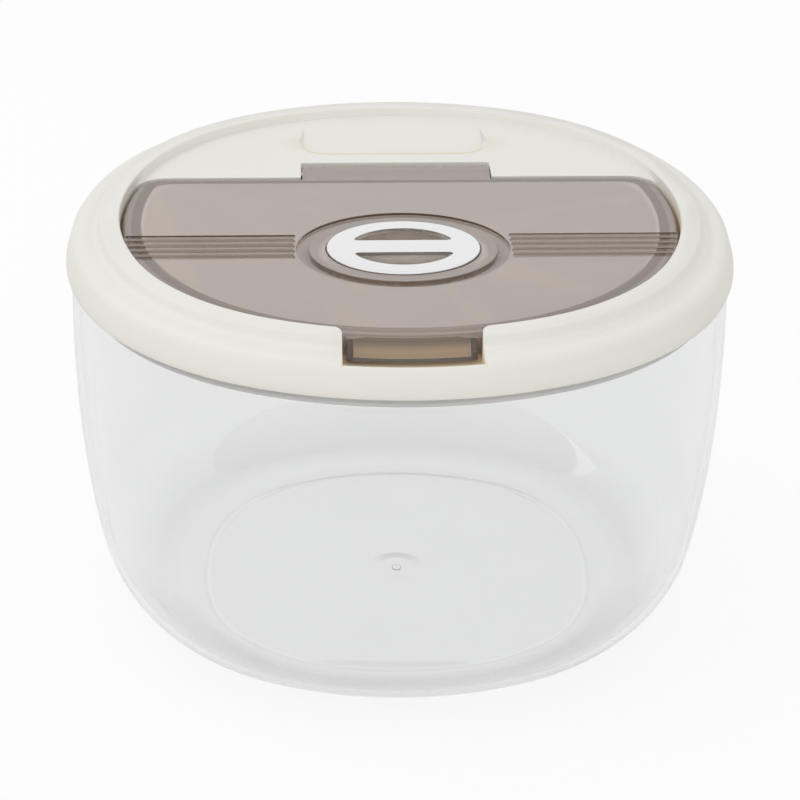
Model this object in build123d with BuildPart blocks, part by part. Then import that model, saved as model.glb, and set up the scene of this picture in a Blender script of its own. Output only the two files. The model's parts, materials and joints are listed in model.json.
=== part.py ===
from build123d import *
import math
import os

os.makedirs("parts", exist_ok=True)

# Driving sizes of the canister, in millimetres: front is -Y, hinge side is +Y, foot at zero
mouth_height = 125.6
mouth_half_width = 107.7
belly_swell = 0.9
foot_share = 0.677
foot_ring_width = 4.9
bowl_wall = 2.2
rim_overlap = 1.4
foot_recess = 0.5
gate_dimple_radius = 10.0
gate_dimple_depth = 0.4
gate_nub_radius = 1.6
gate_nub_height = 0.6

# How far the lid's outline is drawn out towards its diagonals, from a circle
lid_square_share = 0.022
side_arc_half_angle = 22.5

# Outer profile of the bowl, as tangent arcs: share of the growth from foot to belly, share of the height
bowl_profile_shares = [(0.0, 0.0), (0.409, 0.0469), (0.861, 0.2587), (0.996, 0.6445)]
bowl_arc_steps = [2, 3, 2, 2]
foot_slope_share = 0.1165

# Lid cover: skirt, outer bulge, step and flat band
skirt_gap = 0.3
skirt_wall = 2.0
lid_wall = 2.0
lid_rise = 14.5
bulge_rise = 10.2
bulge_width_share = 0.339
bulge_drop = 13.8
rim_width = 18.3
band_share = 0.35
step_run = 1.2
step_foot_break = 1.5
bulge_crown_share = 0.677
crown_steps = 3
side_steps = 2
edge_break = 0.5
opening_rear_share = 0.36096
opening_corner_radius = 11.0
deck_drop = 3.0
skirt_seat_height = 1.6

# Hinge notch and pin
notch_half_width = 32.6
notch_depth = 13.2
notch_corner_radius = 1.0
ear_thickness = 4.0
knuckle_radius = 3.0
knuckle_rear_gap = 1.55
pin_radius = 1.25
pin_running_gap = 0.05
pin_seat_gap = 0.02
pin_end_gap = 0.6
knuckle_side_gap = 0.6

# Finger scoop in the rear deck
scoop_setback = 9.7
scoop_side_overlap = 0.4
scoop_length = 20.0
scoop_depth = 3.6
scoop_flare = 40.0
scoop_corner_radius = 9.0
scoop_wall = 2.0

# Front pocket and the flap's finger tab
pocket_side_gap = 1.3
pocket_floor_rise = 1.0
pocket_floor_reach = 5.3
pocket_lip = 3.8
pocket_rise = 4.9
pocket_corner_radius = 4.5
tab_half_width = 19.4
tab_setback = 5.2
tab_reach = 9.5
tab_drop = 6.1
tab_thickness = 1.9
tab_back_share = 0.5

# Flap
flap_gap = 0.55
flap_rear_gap = 1.05
flap_thickness = 2.2
flap_edge_break = 1.2
flap_skirt = 1.8
flap_skirt_drop = 6.9
groove_count = 5
groove_pitch = 4.1
groove_width = 2.6
groove_depth = 0.6
groove_offset = 2.0
groove_end_gap = 0.3
dish_side_margin = 9.8
dish_end_margin = 9.0
dish_sink = 1.0
boss_side_margin = 5.7
boss_end_margin = 5.0

# Vent: grille ring, cup, stem, spring, valve and seals
vent_middle_share = 0.29444
ring_half_width = 24.5
ring_half_depth = 20.0
ring_thickness = 1.6
ring_stand = 1.0
ring_band_share = 0.28
ring_side_band_share = 0.302
ring_bar_share = 0.46
slot_corner_radius = 1.2
ring_edge_radius = 0.5
cup_inset = 0.3
cup_wall = 1.6
cup_floor = 1.4
cup_depth = 5.9
cup_boss_height = 0.8
well_gap = 0.4
well_wall = 1.6
well_floor = 1.6
spring_length = 4.8
spring_radius = 4.2
spring_wire = 0.6
spring_turns = 3.5
spring_seat_gap = 0.1
spring_side_gap = 0.6
arcs_per_turn = 4
wire_sides = 6
stem_radius = 2.0
stem_hole_gap = 0.45
stem_head_radius = 2.5
stem_head_height = 0.9
stem_fit_gap = 0.02
seal_radius = 4.6
seal_thickness = 1.6
seal_seat_gap = 0.2
clip_radius = 3.6
clip_thickness = 1.0
clip_gap = 0.1
stem_tail = 1.2
stem_groove_depth = 0.5
valve_outer_radius = 13.0
valve_inner_radius = 6.3
valve_thickness = 1.2
valve_lip_thickness = 0.6
valve_post_gap = 0.1
valve_post_height = 1.6
vent_hole_count = 8
vent_hole_radius = 1.2
vent_hole_circle = 9.3

# Lid liner, gaskets and flap liner
rest_gap = 0.2
liner_thickness = 1.6
liner_edge_gap = 0.5
mouth_lip_inset = 11.7
mouth_lip_rear_inset = 8.1
mouth_lip_wall = 1.6
mouth_lip_height = 2.3
mouth_corner_radius = 8.0
plug_wall = 1.8
plug_depth = 8.0
gasket_gap = 0.3
gasket_width = 4.2
gasket_height = 4.6
gasket_lip = 1.6
gasket_seat_gap = 0.15
flange_thickness = 1.2
flange_gap = 0.7
flap_liner_thickness = 1.5
flap_gasket_width = 4.2
channel_depth = 1.2
groove_wall = 1.2
seal_gap = 0.3
overrun = 1.0

# Heights above the table, worked out from the sizes above
bowl_top = mouth_height + rim_overlap
liner_bottom = bowl_top + rest_gap
liner_top = liner_bottom + liner_thickness
band_top = mouth_height + lid_rise
bulge_top = mouth_height + bulge_rise
bulge_middle = bulge_top - bulge_drop
deck_top = band_top - deck_drop
deck_bottom = deck_top - lid_wall
pocket_floor = liner_top + pocket_floor_rise
flap_bottom = deck_top - flap_thickness
flap_skirt_bottom = deck_top - flap_skirt_drop
flap_liner_bottom = flap_bottom - flap_liner_thickness
hinge_height = deck_top - knuckle_radius
ring_top = deck_top + ring_stand
ring_bottom = ring_top - ring_thickness
cup_floor_top = ring_bottom - cup_depth
cup_bottom = cup_floor_top - cup_floor
well_floor_top = cup_bottom - spring_length
well_bottom = well_floor_top - well_floor
seal_top = well_bottom - seal_seat_gap
clip_top = seal_top - seal_thickness
stem_bottom = clip_top - clip_thickness - stem_tail
gasket_top = liner_bottom - gasket_seat_gap
gasket_bottom = gasket_top - gasket_height
lip_top = liner_top + mouth_lip_height

# Plan sizes that follow from the sizes above
belly_half_width = mouth_half_width + belly_swell
foot_half_width = mouth_half_width * foot_share
foot_ring_half_width = foot_half_width - foot_ring_width
lid_half_width = mouth_half_width + skirt_gap + skirt_wall
skirt_inner = mouth_half_width + skirt_gap
bulge_width = rim_width * bulge_width_share
bulge_crown = bulge_width * bulge_crown_share
bulge_centre = lid_half_width - bulge_width
opening_half_width = lid_half_width - rim_width
opening_rear = opening_half_width * opening_rear_share
band_edge = opening_half_width + rim_width * band_share
notch_rear = opening_rear + notch_depth
scoop_front = notch_rear + scoop_setback
scoop_half_width = notch_half_width + scoop_side_overlap
hinge_y = notch_rear - knuckle_rear_gap - knuckle_radius
pin_half_length = notch_half_width + ear_thickness - pin_end_gap
pocket_half_width = tab_half_width + pocket_side_gap
pocket_floor_front = opening_half_width + pocket_floor_reach
pocket_front = lid_half_width - pocket_lip
tab_start = opening_half_width - tab_setback
flap_half_width = opening_half_width - flap_gap
flap_rear = opening_rear - flap_rear_gap
vent_middle = -opening_half_width * vent_middle_share
groove_middle = vent_middle + groove_offset
dish_half_width = ring_half_width + dish_side_margin
dish_half_depth = ring_half_depth + dish_end_margin
boss_half_width = ring_half_width + boss_side_margin
boss_half_depth = ring_half_depth + boss_end_margin
groove_inner_end = dish_half_width + groove_end_gap
well_half_width = ring_half_width + well_gap
well_half_depth = ring_half_depth + well_gap
mouth_lip_half_width = opening_half_width - mouth_lip_inset
mouth_lip_rear = opening_rear - mouth_lip_rear_inset
gasket_outer = mouth_half_width - bowl_wall - gasket_gap
plug_half_width = gasket_outer - gasket_width

# The bulge's side arc and the angle where it meets the crown arc
bulge_side = bulge_width**2 + bulge_drop**2 - 2 * bulge_drop * bulge_crown
bulge_side /= 2 * (bulge_width - bulge_crown)
crown_middle = Vector(bulge_centre, bulge_top - bulge_crown)
side_middle = Vector(lid_half_width - bulge_side, bulge_middle)
crown_start = math.degrees(math.atan2((crown_middle - side_middle).Y, (crown_middle - side_middle).X))


def arc_layout(half_width, square_share):
    """Radius, middle and start angle of the eight tangent arcs of a nearly round outline."""
    angle = math.radians(side_arc_half_angle)
    spread = (math.sqrt(2) - 1) * math.sin(angle) + math.cos(angle) - 1
    stretch = half_width * square_share / spread
    side_radius = half_width + stretch * (math.cos(angle) - math.sin(angle))
    corner_radius = side_radius - stretch
    corner_middle = stretch * math.sin(angle)
    arcs = []
    for turn in range(4):
        side = Vector(half_width - side_radius, 0).rotate(Axis.Z, 90 * turn)
        corner = Vector(corner_middle, corner_middle).rotate(Axis.Z, 90 * turn)
        side_start = 90 * turn - side_arc_half_angle
        corner_start = 90 * turn + side_arc_half_angle
        arcs.append((side_radius, side, side_start, 2 * side_arc_half_angle))
        arcs.append((corner_radius, corner, corner_start, 90 - 2 * side_arc_half_angle))
    return arcs


def nearly_round(half_width, square_share=lid_square_share, inset=0):
    """Face of a nearly round outline, with every arc drawn in by an inset."""
    with BuildSketch(mode=Mode.PRIVATE) as outline:
        with BuildLine():
            for radius, middle, start, size in arc_layout(half_width, square_share):
                CenterArc(middle, radius - inset, start, size)
        make_face()
    return outline.sketch


def lid_round(half_width):
    """Face at a half width of the lid, on the same arc middles as the lid's own edge."""
    return nearly_round(lid_half_width, lid_square_share, lid_half_width - half_width)


def cut_round(half_width, rear, corner_radius):
    """Lid-like face with a straight rear edge and two rounded rear corners."""
    with BuildSketch(mode=Mode.PRIVATE) as outline:
        add(lid_round(half_width))
        with Locations((0, rear)):
            Rectangle(
                2 * lid_half_width,
                lid_half_width,
                align=(Align.CENTER, Align.MIN),
                mode=Mode.SUBTRACT,
            )
        fillet(outline.vertices().group_by(Axis.Y)[-1], radius=corner_radius)
    return outline.sketch


def opening_face(outset=0):
    """Face of the flap's opening in the lid, drawn out by an outset."""
    radius = opening_corner_radius + outset
    return cut_round(opening_half_width + outset, opening_rear + outset, radius)


def flap_face(inset=0):
    """Face of the flap, drawn in by an inset."""
    radius = opening_corner_radius - inset
    return cut_round(flap_half_width - inset, flap_rear - inset, radius)


def mouth_face(outset=0):
    """Face of the pouring mouth in the lid liner, drawn out by an outset."""
    radius = mouth_corner_radius + outset
    return cut_round(mouth_lip_half_width + outset, mouth_lip_rear + outset, radius)


def stepped(arc, steps):
    """Points along an arc, which a swept section joins with straight lines."""
    return [arc @ (step / steps) for step in range(steps + 1)]


def rim_face():
    """Section of the lid's rim above the bulge's middle: band, step, crown and side."""
    with BuildLine(mode=Mode.PRIVATE):
        crown = CenterArc(crown_middle, bulge_crown, 90, crown_start - 90)
        side = CenterArc(side_middle, bulge_side, crown_start, -crown_start)
    with BuildSketch(mode=Mode.PRIVATE) as section:
        with BuildLine():
            Polyline(
                (opening_half_width, bulge_middle),
                (opening_half_width, band_top - edge_break),
                (opening_half_width + edge_break, band_top),
                (band_edge - edge_break, band_top),
                (band_edge, band_top - edge_break),
                (band_edge + step_run, bulge_top),
                *stepped(crown, crown_steps),
                *stepped(side, side_steps)[1:],
                close=True,
            )
        make_face()
        step_foot = section.vertices().sort_by_distance((band_edge + step_run, bulge_top))[0]
        chamfer(step_foot, length=step_foot_break)
    return section.sketch


def rim_core(wall):
    """Section of the straight-sided hollow under the rim, a wall's thickness in from the outside."""
    knee = Vector(1, 0).rotate(Axis.Z, crown_start) * (bulge_crown - wall)
    with BuildSketch(mode=Mode.PRIVATE) as section:
        with BuildLine():
            Polyline(
                (opening_half_width + wall, bulge_middle),
                (opening_half_width + wall, band_top - wall),
                (band_edge - wall / 2, band_top - wall),
                (band_edge + step_run - wall / 2, bulge_top - wall),
                (bulge_centre, bulge_top - wall),
                crown_middle + knee,
                (lid_half_width - wall, bulge_middle),
                close=True,
            )
        make_face()
    return section.sketch


def arc_plane(radius, middle, angle):
    """Upright plane at an angle on one of the lid's arcs, whose X is the lid's half width there."""
    outward = Vector(1, 0, 0).rotate(Axis.Z, angle)
    sideways = Vector(0, -1, 0).rotate(Axis.Z, angle)
    origin = middle + outward * (radius - lid_half_width)
    return Plane(origin=origin, x_dir=outward, z_dir=sideways)


def block(half_width, front, rear):
    """Face of a rectangle across the middle, from a front line to a rear line."""
    with BuildSketch(mode=Mode.PRIVATE) as outline:
        with Locations((0, front)):
            Rectangle(2 * half_width, rear - front, align=(Align.CENTER, Align.MIN))
    return outline.sketch


def oval(half_width, half_depth):
    """Face of an oval round the vent's middle."""
    with BuildSketch(mode=Mode.PRIVATE) as outline:
        with Locations((0, vent_middle)):
            Ellipse(half_width, half_depth)
    return outline.sketch


def disc(*radii):
    """Face of a disc round the vent's middle, with a second radius for its hole."""
    with BuildSketch(mode=Mode.PRIVATE) as outline:
        with Locations((0, vent_middle)):
            Circle(radii[0])
            for radius in radii[1:]:
                Circle(radius, mode=Mode.SUBTRACT)
    return outline.sketch


lid_arcs = arc_layout(lid_half_width, lid_square_share)
front_radius, front_middle = lid_arcs[6][:2]
front_axis = Axis(front_middle, (0, 0, 1))
front_lever = front_radius - lid_half_width + opening_half_width
front_spread = math.degrees(math.asin((pocket_half_width + lid_wall) / front_lever))
front_start = arc_plane(front_radius, front_middle, 270 - front_spread)


# Bowl: stepped tangent arcs thickened inwards, swept round the lid's arcs, and the floor
wall_growth = belly_half_width - foot_half_width
outside = [
    Vector(foot_half_width + growth_share * wall_growth, height_share * bowl_top)
    for growth_share, height_share in bowl_profile_shares
]
outside.append(Vector(mouth_half_width, bowl_top))
wall_points = [outside[0]]
with BuildLine(mode=Mode.PRIVATE):
    heading = Vector(1, foot_slope_share)
    for here, there, steps in zip(outside, outside[1:], bowl_arc_steps):
        arc = TangentArc(here, there, tangent=heading)
        heading = arc % 1
        wall_points.extend(stepped(arc, steps)[1:])
foot_heading = (wall_points[1] - wall_points[0]).normalized()
bowl_floor = bowl_wall * foot_heading.X
floor_corner = outside[0] + bowl_wall * Vector(-foot_heading.Y, foot_heading.X)

with BuildSketch(mode=Mode.PRIVATE) as bowl_section:
    with BuildLine():
        Polyline(*wall_points)
        offset(amount=bowl_wall, side=Side.LEFT, kind=Kind.INTERSECTION)
    make_face()
    chamfer(bowl_section.vertices().group_by(Axis.Y)[-1], length=edge_break)
    with BuildLine():
        Polyline(
            outside[0],
            (foot_ring_half_width, 0),
            (foot_ring_half_width, foot_recess),
            (foot_ring_half_width - bowl_wall, foot_recess),
            (foot_ring_half_width - bowl_wall, bowl_floor),
            floor_corner,
            close=True,
        )
    make_face()

with BuildPart() as bowl:
    for radius, middle, start, size in lid_arcs:
        with BuildSketch(arc_plane(radius, middle, start)):
            add(bowl_section.sketch)
        revolve(axis=Axis(middle, (0, 0, 1)), revolution_arc=size)
    with BuildSketch(Plane.XY.offset(foot_recess)):
        add(lid_round(foot_ring_half_width - bowl_wall))
    extrude(amount=bowl_floor - foot_recess)
    with BuildSketch(Plane.XY.offset(foot_recess)):
        Circle(gate_dimple_radius)
    extrude(amount=gate_dimple_depth, mode=Mode.SUBTRACT)
    with BuildSketch(Plane.XY.offset(foot_recess + gate_dimple_depth)):
        Circle(gate_nub_radius)
    extrude(amount=-gate_nub_height)

# Lid cover: hollow rim swept round the lid's arcs, deck, hinge notch, scoop and pocket
with BuildSketch(mode=Mode.PRIVATE) as cover_section:
    add(rim_face())
    add(rim_core(lid_wall), mode=Mode.SUBTRACT)
    with Locations((opening_half_width - overrun, mouth_height)):
        Rectangle(
            skirt_inner - opening_half_width + overrun,
            skirt_seat_height,
            align=(Align.MIN, Align.MIN),
            mode=Mode.SUBTRACT,
        )
        Rectangle(
            skirt_inner - opening_half_width,
            lid_rise,
            align=(Align.MIN, Align.MAX),
            mode=Mode.SUBTRACT,
        )
        Rectangle(
            2 * lid_wall,
            liner_top - mouth_height,
            align=(Align.MIN, Align.MIN),
            mode=Mode.SUBTRACT,
        )
    with Locations((opening_half_width, mouth_height)):
        Rectangle(
            lid_half_width - opening_half_width + overrun,
            lid_rise,
            align=(Align.MIN, Align.MAX),
            mode=Mode.SUBTRACT,
        )

with BuildSketch(mode=Mode.PRIVATE) as pocket_block_section:
    add(rim_core(lid_wall / 2))
    with Locations((opening_half_width, liner_top)):
        Rectangle(
            lid_half_width - opening_half_width,
            lid_rise,
            align=(Align.MIN, Align.MAX),
            mode=Mode.SUBTRACT,
        )

with BuildPart() as pocket_cut:
    with BuildSketch(front_start):
        with BuildLine():
            floor_line = Line(
                (opening_half_width - lid_wall, pocket_floor), (pocket_floor_front, pocket_floor)
            )
            ramp = TangentArc(
                floor_line @ 1,
                (pocket_front, pocket_floor + pocket_rise),
                tangent=floor_line % 1,
            )
            run_out = Line(ramp @ 1, ramp @ 1 + (ramp % 1) * pocket_rise)
            Polyline(
                run_out @ 1,
                ((run_out @ 1).X, band_top + overrun),
                (opening_half_width - lid_wall, band_top + overrun),
                floor_line @ 0,
            )
        make_face()
    revolve(axis=front_axis, revolution_arc=2 * front_spread)
    with BuildSketch():
        add(block(pocket_half_width, -2 * lid_half_width, 0))
    extrude(amount=2 * band_top, mode=Mode.INTERSECT)

with BuildPart() as lid_cover:
    for radius, middle, start, size in lid_arcs:
        with BuildSketch(arc_plane(radius, middle, start)):
            add(cover_section.sketch)
        revolve(axis=Axis(middle, (0, 0, 1)), revolution_arc=size)
    with BuildSketch(front_start):
        add(pocket_block_section.sketch)
    revolve(axis=front_axis, revolution_arc=2 * front_spread)
    with BuildSketch(Plane.XY.offset(liner_top)):
        add(lid_round(opening_half_width + lid_wall / 2))
        add(opening_face(), mode=Mode.SUBTRACT)
    extrude(amount=deck_top - liner_top)
    with BuildSketch(Plane.XY.offset(liner_top)):
        add(lid_round(opening_half_width))
        add(opening_face(lid_wall), mode=Mode.SUBTRACT)
        add(
            block(notch_half_width + ear_thickness, 0, notch_rear + lid_wall),
            mode=Mode.SUBTRACT,
        )
    extrude(amount=deck_bottom - liner_top, mode=Mode.SUBTRACT)
    with BuildSketch(Plane.XY.offset(deck_bottom)):
        add(
            block(
                scoop_half_width + scoop_depth + scoop_wall,
                scoop_front - scoop_wall,
                scoop_front + scoop_length,
            )
        )
    extrude(amount=-(scoop_depth + scoop_wall - lid_wall))
    add(pocket_cut.part, mode=Mode.SUBTRACT)
    with BuildSketch(Plane.XY.offset(liner_top - overrun)) as notch:
        add(block(notch_half_width, opening_rear - overrun, notch_rear))
        fillet(notch.vertices().group_by(Axis.Y)[-1], radius=notch_corner_radius)
    extrude(amount=deck_top - liner_top + 2 * overrun, mode=Mode.SUBTRACT)
    with BuildSketch(Plane.YZ):
        with Locations((hinge_y, hinge_height)):
            Circle(pin_radius + pin_seat_gap)
    extrude(amount=notch_half_width + ear_thickness, both=True, mode=Mode.SUBTRACT)
    scoop_tilt = math.degrees(math.atan(scoop_depth / scoop_length))
    scoop_flare_run = scoop_depth * math.tan(math.radians(scoop_flare))
    scoop_plane = Plane(
        origin=(0, scoop_front + scoop_flare_run, deck_top - scoop_depth),
        z_dir=Vector(0, 0, 1).rotate(Axis.X, scoop_tilt),
        x_dir=(1, 0, 0),
    )
    with BuildSketch(scoop_plane) as scoop_floor:
        Rectangle(
            2 * (scoop_half_width - scoop_flare_run / 2),
            scoop_length + 2 * scoop_depth,
            align=(Align.CENTER, Align.MIN),
        )
        fillet(scoop_floor.vertices().group_by(Axis.Y)[0], radius=scoop_corner_radius)
    extrude(amount=2 * scoop_depth, taper=-scoop_flare, mode=Mode.SUBTRACT)
    pocket_corners = (
        lid_cover.edges()
        .filter_by(Axis.Z)
        .filter_by_position(Axis.X, -pocket_half_width, pocket_half_width)
        .group_by(Axis.Y)[0]
    )

    fillet(pocket_corners, radius=pocket_corner_radius)

# Hinge pin
with BuildPart() as hinge_pin:
    with BuildSketch(Plane.YZ):
        with Locations((hinge_y, hinge_height)):
            Circle(pin_radius)
    extrude(amount=pin_half_length, both=True)
    chamfer(hinge_pin.edges().filter_by(GeomType.CIRCLE), length=edge_break / 2)

# Lid liner: plate over the bowl's rim, lip round the pouring mouth, plug wall and gasket flange
knee = crown_middle + Vector(1, 0).rotate(Axis.Z, crown_start) * (bulge_crown - lid_wall)
core_lean = (lid_half_width - lid_wall - knee.X) / (knee.Y - bulge_middle)
core_half_width = lid_half_width - lid_wall - core_lean * (liner_top - bulge_middle)
liner_half_width = core_half_width - liner_edge_gap
flange_half_width = gasket_outer - flange_gap
with BuildPart() as lid_liner:
    with BuildSketch(Plane.XY.offset(liner_bottom)):
        add(lid_round(liner_half_width))
        add(mouth_face(), mode=Mode.SUBTRACT)
    extrude(amount=liner_thickness)
    with BuildSketch(Plane.XY.offset(liner_top)):
        add(mouth_face(mouth_lip_wall))
        add(mouth_face(), mode=Mode.SUBTRACT)
    extrude(amount=mouth_lip_height)
    with BuildSketch(Plane.XY.offset(liner_bottom)):
        add(lid_round(plug_half_width))
        add(lid_round(plug_half_width - plug_wall), mode=Mode.SUBTRACT)
    extrude(amount=-plug_depth)
    with BuildSketch(Plane.XY.offset(gasket_bottom - gasket_seat_gap)):
        add(lid_round(flange_half_width))
        add(lid_round(plug_half_width - plug_wall / 2), mode=Mode.SUBTRACT)
    extrude(amount=-flange_thickness)

# Lid gasket: band with two lips that bear on the bowl's wall
gasket_waist = gasket_outer - gasket_lip
with BuildSketch(mode=Mode.PRIVATE) as gasket_section:
    with BuildLine():
        Polyline(
            (plug_half_width + gasket_seat_gap, gasket_bottom),
            (gasket_outer, gasket_bottom),
            (gasket_waist, gasket_bottom + gasket_lip),
            (gasket_waist, gasket_top - gasket_lip),
            (gasket_outer, gasket_top),
            (plug_half_width + gasket_seat_gap, gasket_top),
            close=True,
        )
    make_face()
with BuildPart() as lid_gasket:
    for radius, middle, start, size in lid_arcs:
        with BuildSketch(arc_plane(radius, middle, start)):
            add(gasket_section.sketch)
        revolve(axis=Axis(middle, (0, 0, 1)), revolution_arc=size)

# Finger tab of the flap: curved face with side webs, swept round the front arc
tab_face_line = (
    (tab_start, deck_top),
    (tab_start + tab_reach, deck_top - tab_drop),
)
with BuildSketch(mode=Mode.PRIVATE) as tab_section:
    with BuildLine():
        face_line = TangentArc(*tab_face_line, tangent=(1, 0))
        Polyline(
            face_line @ 1,
            (tab_start, deck_top - tab_drop),
            face_line @ 0,
        )
    make_face()
with BuildPart() as tab_hollow:
    with BuildSketch(front_start):
        with Locations((-tab_thickness * tab_back_share, -tab_thickness)):
            add(tab_section.sketch)
    revolve(axis=front_axis, revolution_arc=2 * front_spread)
    with BuildSketch(Plane.XY.offset(flap_skirt_bottom - tab_drop)):
        add(block(tab_half_width - flap_skirt, -2 * lid_half_width, 0))
    extrude(amount=2 * lid_rise, mode=Mode.INTERSECT)
with BuildPart() as tab:
    with BuildSketch(front_start):
        add(tab_section.sketch)
    revolve(axis=front_axis, revolution_arc=2 * front_spread)
    with BuildSketch(Plane.XY.offset(flap_skirt_bottom - tab_drop)):
        add(block(tab_half_width, -2 * lid_half_width, 0))
    extrude(amount=2 * lid_rise, mode=Mode.INTERSECT)
    add(tab_hollow.part, mode=Mode.SUBTRACT)

# Flap: plate with a rolled edge and skirt, hinge knuckle, vent well, dish, grooves and tab
with BuildPart() as flap:
    with BuildSketch(Plane.XY.offset(flap_skirt_bottom)):
        add(flap_face())
    extrude(amount=flap_skirt_drop)
    chamfer(flap.faces().sort_by(Axis.Z)[-1].edges(), length=flap_edge_break)
    with BuildSketch(Plane.XY.offset(flap_skirt_bottom)):
        add(flap_face(flap_skirt))
    extrude(amount=flap_skirt_drop - flap_thickness, mode=Mode.SUBTRACT)
    with BuildSketch(Plane.YZ):
        with Locations((hinge_y, hinge_height)):
            Circle(knuckle_radius)
        with Locations((flap_rear - flap_skirt, deck_top)):
            Rectangle(
                hinge_y - flap_rear + flap_skirt,
                flap_thickness,
                align=(Align.MIN, Align.MAX),
            )
    extrude(amount=notch_half_width - knuckle_side_gap, both=True)
    with BuildSketch(Plane.YZ):
        with Locations((hinge_y, hinge_height)):
            Circle(pin_radius + pin_running_gap)
    extrude(amount=notch_half_width, both=True, mode=Mode.SUBTRACT)
    with BuildSketch(Plane.XY.offset(deck_top)):
        add(oval(dish_half_width, dish_half_depth))
        add(oval(boss_half_width, boss_half_depth), mode=Mode.SUBTRACT)
    extrude(amount=-dish_sink, mode=Mode.SUBTRACT)
    with BuildSketch(Plane.XY.offset(well_bottom)):
        add(oval(well_half_width + well_wall, well_half_depth + well_wall))
    extrude(amount=deck_top - well_bottom)
    with BuildSketch(Plane.XY.offset(well_floor_top)):
        add(oval(well_half_width, well_half_depth))
    extrude(amount=deck_top - well_floor_top, mode=Mode.SUBTRACT)
    with BuildSketch(Plane.XY.offset(well_floor_top)):
        add(
            disc(
                valve_inner_radius - valve_post_gap,
                spring_radius + spring_wire / 2 + spring_side_gap,
            )
        )
    extrude(amount=valve_post_height)
    with BuildSketch(Plane.XY.offset(well_bottom)):
        add(disc(stem_radius + stem_hole_gap))
        with Locations((0, vent_middle)):
            with PolarLocations(vent_hole_circle, vent_hole_count):
                Circle(vent_hole_radius)
    extrude(amount=well_floor, mode=Mode.SUBTRACT)
    with BuildSketch(Plane.XY.offset(deck_top)):
        for side in (-1, 1):
            groove_length = lid_half_width - groove_inner_end
            with Locations((side * (groove_inner_end + groove_length / 2), groove_middle)):
                with GridLocations(0, groove_pitch, 1, groove_count):
                    Rectangle(groove_length, groove_width)
    extrude(amount=-groove_depth, mode=Mode.SUBTRACT)
    add(tab.part)

# Flap liner: plate under the flap with a channel for the flap gasket
gasket_inner_inset = (flap_gasket_width - mouth_lip_wall) / 2
gasket_outset = flap_gasket_width - gasket_inner_inset
channel_inset = gasket_inner_inset + gasket_seat_gap
channel_outset = gasket_outset + gasket_seat_gap
with BuildPart() as flap_liner:
    with BuildSketch(Plane.XY.offset(flap_liner_bottom)):
        add(mouth_face(channel_outset + groove_wall))
        add(
            oval(
                well_half_width + well_wall + well_gap,
                well_half_depth + well_wall + well_gap,
            ),
            mode=Mode.SUBTRACT,
        )
    extrude(amount=flap_liner_thickness)
    with BuildSketch(Plane.XY.offset(flap_liner_bottom)):
        add(mouth_face(channel_outset + groove_wall))
        add(mouth_face(channel_outset), mode=Mode.SUBTRACT)
        add(mouth_face(-channel_inset))
        add(mouth_face(-channel_inset - groove_wall), mode=Mode.SUBTRACT)
    extrude(amount=-channel_depth)

# Flap gasket
with BuildPart() as flap_gasket:
    with BuildSketch(Plane.XY.offset(lip_top + seal_gap)):
        add(mouth_face(gasket_outset))
        add(mouth_face(-gasket_inner_inset), mode=Mode.SUBTRACT)
    extrude(amount=flap_liner_bottom - gasket_seat_gap - lip_top - seal_gap)

# Vent button: oval cup with a hole for its stem and a boss inside the spring
with BuildPart() as vent_button:
    with BuildSketch(Plane.XY.offset(cup_bottom)):
        add(oval(ring_half_width - cup_inset, ring_half_depth - cup_inset))
    extrude(amount=ring_bottom - cup_bottom)
    with BuildSketch(Plane.XY.offset(cup_floor_top)):
        add(
            oval(
                ring_half_width - cup_inset - cup_wall,
                ring_half_depth - cup_inset - cup_wall,
            )
        )
    extrude(amount=cup_depth, mode=Mode.SUBTRACT)
    with BuildSketch(Plane.XY.offset(cup_bottom)):
        add(disc(spring_radius - spring_wire / 2 - spring_side_gap))
    extrude(amount=-cup_boss_height)
    with BuildSketch(Plane.XY.offset(cup_floor_top)):
        add(disc(stem_radius + stem_fit_gap))
    extrude(amount=-cup_floor - cup_boss_height, mode=Mode.SUBTRACT)

# Vent ring: plated oval with two windows beside a cross bar
with BuildPart() as vent_ring:
    with BuildSketch(Plane.XY.offset(ring_bottom)):
        add(oval(ring_half_width, ring_half_depth))
    extrude(amount=ring_thickness)
    chamfer(vent_ring.faces().sort_by(Axis.Z)[-1].edges(), length=ring_edge_radius)
    with BuildSketch(Plane.XY.offset(ring_bottom)) as windows:
        add(
            oval(
                ring_half_width * (1 - ring_side_band_share),
                ring_half_depth * (1 - ring_band_share),
            )
        )
        bar = ring_half_depth * ring_bar_share
        add(
            block(ring_half_width, vent_middle - bar / 2, vent_middle + bar / 2),
            mode=Mode.SUBTRACT,
        )
        fillet(windows.vertices(), radius=slot_corner_radius)
    extrude(amount=ring_thickness, mode=Mode.SUBTRACT)

# Stem of the vent button: head, shaft and clip groove in one turned profile
clip_bottom = clip_top - clip_thickness
groove_radius = stem_radius - stem_groove_depth
with BuildPart() as button_stem:
    with BuildSketch(Plane.XZ.offset(-vent_middle)):
        with BuildLine():
            Polyline(
                (0, stem_bottom),
                (stem_radius - edge_break, stem_bottom),
                (stem_radius, stem_bottom + edge_break),
                (stem_radius, clip_bottom),
                (groove_radius, clip_bottom),
                (groove_radius, clip_top),
                (stem_radius, clip_top),
                (stem_radius, cup_floor_top),
                (stem_head_radius, cup_floor_top),
                (stem_head_radius, cup_floor_top + stem_head_height - edge_break),
                (stem_head_radius - edge_break, cup_floor_top + stem_head_height),
                (0, cup_floor_top + stem_head_height),
                close=True,
            )
        make_face()
    revolve(axis=Axis((0, vent_middle, 0), (0, 0, 1)))

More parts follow.
